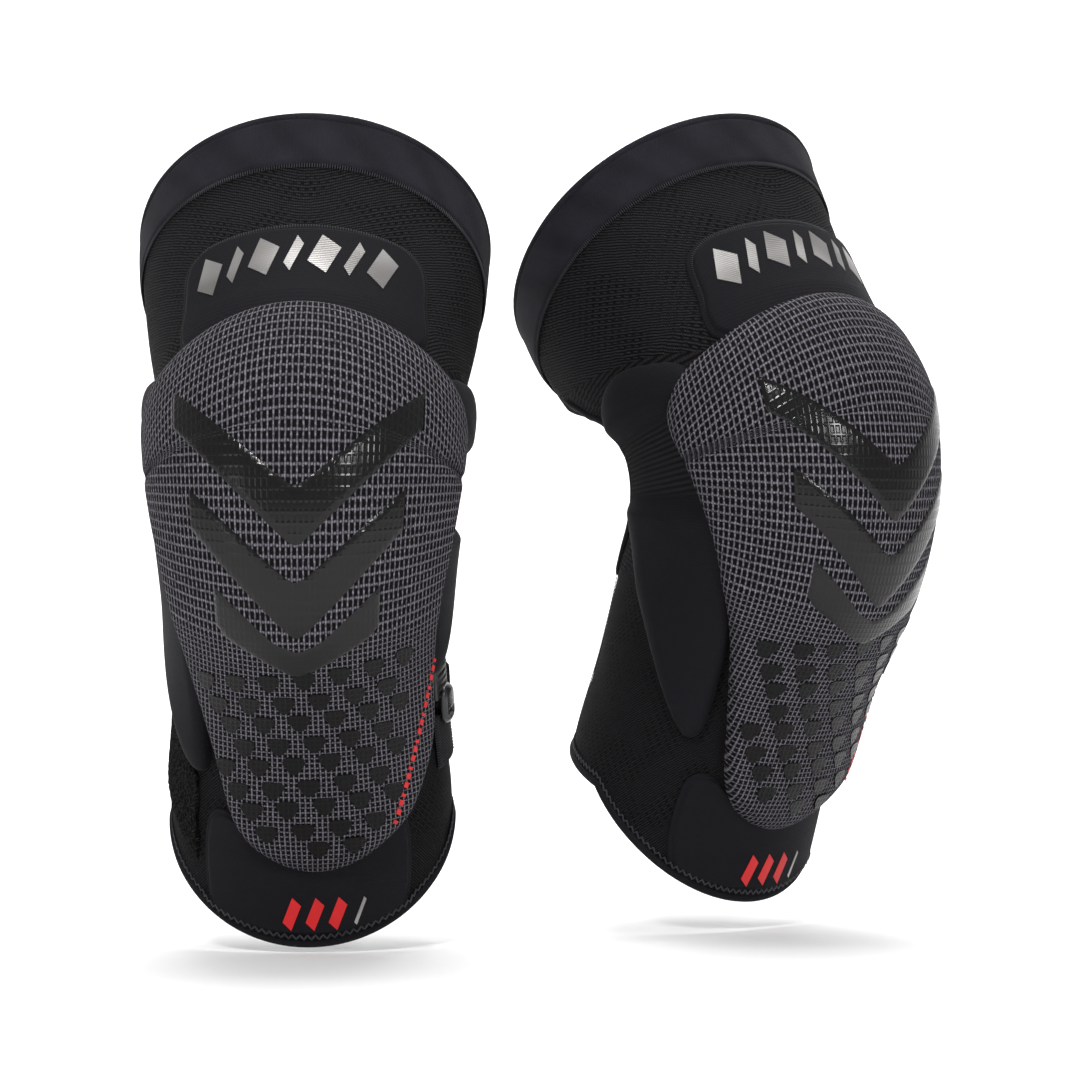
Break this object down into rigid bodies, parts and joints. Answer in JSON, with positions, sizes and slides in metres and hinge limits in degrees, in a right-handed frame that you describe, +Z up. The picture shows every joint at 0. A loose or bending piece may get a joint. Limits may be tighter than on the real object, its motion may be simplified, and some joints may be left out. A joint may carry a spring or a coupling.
{
  "type": "knee guards",
  "caption": "pair of soft knee guards: knitted sleeve, moulded knee pad with side wings, elastic top cuff, hooked calf strap",
  "frame": {"origin": "centre of the wearer's left knee, where the knee axis crosses the leg's middle", "axes": "+Z up, -Y the front of the left guard, +X from the left guard to the right guard along the knee axis"},
  "size_m": [0.3753, 0.3302, 0.3903],
  "materials": {
    "mesh_knit": "perforated black mesh knit",
    "ribbed_knit": "fine ribbed black knit",
    "cuff_elastic": "brushed navy-black elastic",
    "neoprene": "charcoal lycra-faced neoprene",
    "pad_knit": "abrasion-resistant knit, dark grey with a light grey thread grid",
    "foam": "moulded closed-cell impact foam",
    "silicone": "soft silicone grip band",
    "silver_print": "satin silver heat transfer",
    "loop_fabric": "coarse loop pile",
    "webbing": "ribbed polyester webbing",
    "black_rubber": "moulded black rubber",
    "grey_plastic": "dark grey nylon"
  },
  "bodies": {
    "left_thigh": {"left_thigh_mesh_panel": "mesh_knit", "left_thigh_back_panel": "ribbed_knit", "left_top_cuff": "cuff_elastic", "left_cuff_binding": "cuff_elastic", "left_cuff_gripper": "silicone", "left_upper_front_panel": "neoprene", "left_upper_badge": "silver_print", "left_near_upper_wing_foam": "foam", "left_near_upper_wing_cover": "neoprene", "left_far_upper_wing_foam": "foam", "left_far_upper_wing_cover": "neoprene"},
    "left_shin": {"left_knee_stretch_panel": "ribbed_knit", "left_calf_mesh_panel": "mesh_knit", "left_calf_back_panel": "ribbed_knit", "left_hem_binding": "neoprene", "left_hem_gripper": "silicone", "left_lower_front_panel": "neoprene", "left_knee_foam": "foam", "left_knee_cover": "pad_knit", "left_shin_foam": "foam", "left_shin_cover": "pad_knit", "left_near_lower_wing_foam": "foam", "left_near_lower_wing_cover": "neoprene", "left_far_lower_wing_foam": "foam", "left_far_lower_wing_cover": "neoprene", "left_calf_strap": "loop_fabric", "left_strap_webbing": "webbing", "left_hook_ladder": "black_rubber"},
    "left_hook": {"left_strap_hook": "grey_plastic"},
    "left_tail": {"left_strap_tail": "webbing"},
    "right_thigh": {"right_thigh_mesh_panel": "mesh_knit", "right_thigh_back_panel": "ribbed_knit", "right_top_cuff": "cuff_elastic", "right_cuff_binding": "cuff_elastic", "right_cuff_gripper": "silicone", "right_upper_front_panel": "neoprene", "right_upper_badge": "silver_print", "right_near_upper_wing_foam": "foam", "right_near_upper_wing_cover": "neoprene", "right_far_upper_wing_foam": "foam", "right_far_upper_wing_cover": "neoprene"},
    "right_shin": {"right_knee_stretch_panel": "ribbed_knit", "right_calf_mesh_panel": "mesh_knit", "right_calf_back_panel": "ribbed_knit", "right_hem_binding": "neoprene", "right_hem_gripper": "silicone", "right_lower_front_panel": "neoprene", "right_knee_foam": "foam", "right_knee_cover": "pad_knit", "right_shin_foam": "foam", "right_shin_cover": "pad_knit", "right_near_lower_wing_foam": "foam", "right_near_lower_wing_cover": "neoprene", "right_far_lower_wing_foam": "foam", "right_far_lower_wing_cover": "neoprene", "right_calf_strap": "loop_fabric", "right_strap_webbing": "webbing", "right_hook_ladder": "black_rubber"},
    "right_hook": {"right_strap_hook": "grey_plastic"},
    "right_tail": {"right_strap_tail": "webbing"}
  },
  "joints": [
    {"name": "left_knee_flex", "type": "hinge", "parent": "left_shin", "child": "left_thigh", "pos_m": [0, 0, 0], "axis": [-1, 0, 0], "range_deg": [-40, 42], "stiffness_Nm_per_rad": 1.5, "deforming": ["left_knee_stretch_panel", "left_knee_foam", "left_knee_cover", "left_shin_foam", "left_shin_cover"]},
    {"name": "left_hook_lift", "type": "hinge", "parent": "left_shin", "child": "left_hook", "pos_m": [0.06417, 0.01846, -0.10938], "axis": [0.2322, 0.9302, 0.2844], "range_deg": [0, 70]},
    {"name": "left_tail_peel", "type": "hinge", "parent": "left_shin", "child": "left_tail", "pos_m": [0.06298, 0.04502, -0.09603], "axis": [0.0575, 0.3036, -0.9511], "range_deg": [0, 100]},
    {"name": "pair_spacing", "type": "slide", "parent": "left_shin", "child": "right_shin", "axis": [1, 0, 0], "range_m": [0, 0.15]},
    {"name": "right_knee_flex", "type": "hinge", "parent": "right_shin", "child": "right_thigh", "pos_m": [0.212, 0.111, 0.011], "axis": [-0.7771, -0.6293, 0], "range_deg": [-40, 42], "stiffness_Nm_per_rad": 1.5, "deforming": ["right_knee_stretch_panel", "right_knee_foam", "right_knee_cover", "right_shin_foam", "right_shin_cover"]},
    {"name": "right_hook_lift", "type": "hinge", "parent": "right_shin", "child": "right_hook", "pos_m": [0.25025, 0.16573, -0.09838], "axis": [-0.4049, 0.869, 0.2844], "range_deg": [0, 70]},
    {"name": "right_tail_peel", "type": "hinge", "parent": "right_shin", "child": "right_tail", "pos_m": [0.23262, 0.18562, -0.08503], "axis": [-0.1464, 0.2721, -0.9511], "range_deg": [0, 100]}
  ]
}
